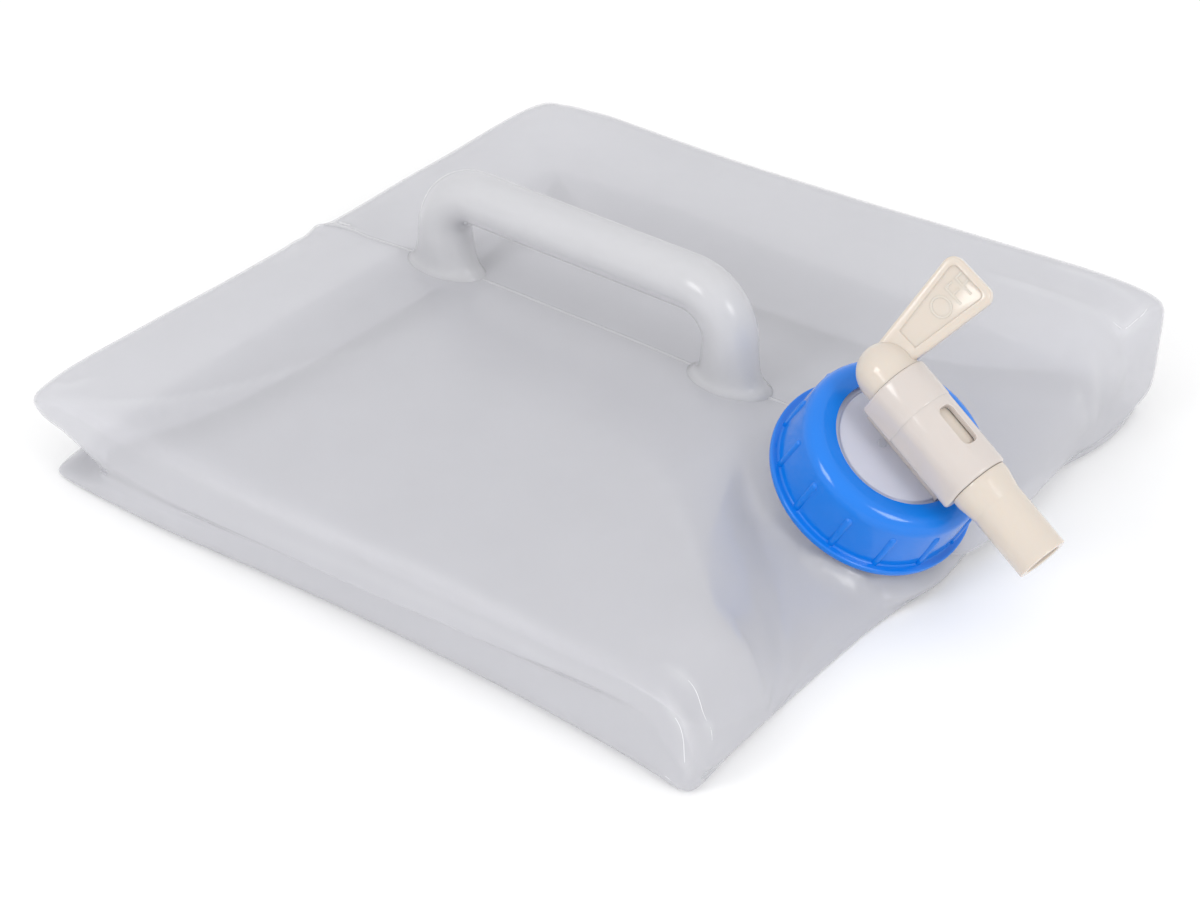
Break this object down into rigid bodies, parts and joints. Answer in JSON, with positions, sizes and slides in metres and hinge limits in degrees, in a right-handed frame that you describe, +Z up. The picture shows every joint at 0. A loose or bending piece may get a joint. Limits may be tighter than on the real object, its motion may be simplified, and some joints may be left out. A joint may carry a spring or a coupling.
{
  "type": "folding water carrier",
  "caption": "Square collapsible water bag lying pressed flat, with a hollow carry handle and a screw cap that carries a quarter-turn rotary tap.",
  "frame": {"origin": "middle of the flat base that the emptied bag lies on", "axes": "+X along the front edge, to the right as seen from the tap; -Y the side that the tap pours to; +Z up"},
  "size_m": [0.2536, 0.2956, 0.1005],
  "materials": {
    "film": "milky translucent blow-moulded film, soft sheen",
    "thick_film": "milky translucent blow-moulded wall, soft sheen",
    "gasket": "matt closed-cell foam",
    "collar": "glossy opaque blue moulding",
    "tap_body": "uncoloured translucent moulding, soft sheen",
    "tap_plug": "ivory satin moulding"
  },
  "bodies": {
    "carrier": {"film_bag": "film", "carry_handle": "thick_film", "threaded_neck": "thick_film"},
    "tap": {"neck_gasket": "gasket", "tap_body": "tap_body"},
    "collar": {"screw_collar": "collar"},
    "plug": {"tap_plug": "tap_plug"}
  },
  "joints": [
    {"name": "cap_lift", "type": "slide", "parent": "carrier", "child": "tap", "axis": [-0.1031, -0.5069, 0.8558], "range_m": [0, 0.018]},
    {"name": "collar_turn", "type": "hinge", "parent": "tap", "child": "collar", "pos_m": [-0.006, -0.1019, 0.0292], "axis": [-0.1031, -0.5069, 0.8558], "range_deg": [0, 1080]},
    {"name": "plug_turn", "type": "hinge", "parent": "tap", "child": "plug", "pos_m": [-0.00975, -0.12035, 0.06035], "axis": [-0.0967, -0.8512, -0.5158], "range_deg": [0, 90]}
  ],
  "couplings": [
    {"joint": "cap_lift", "follows": "collar_turn", "m_per_rad": 0.00095493}
  ]
}
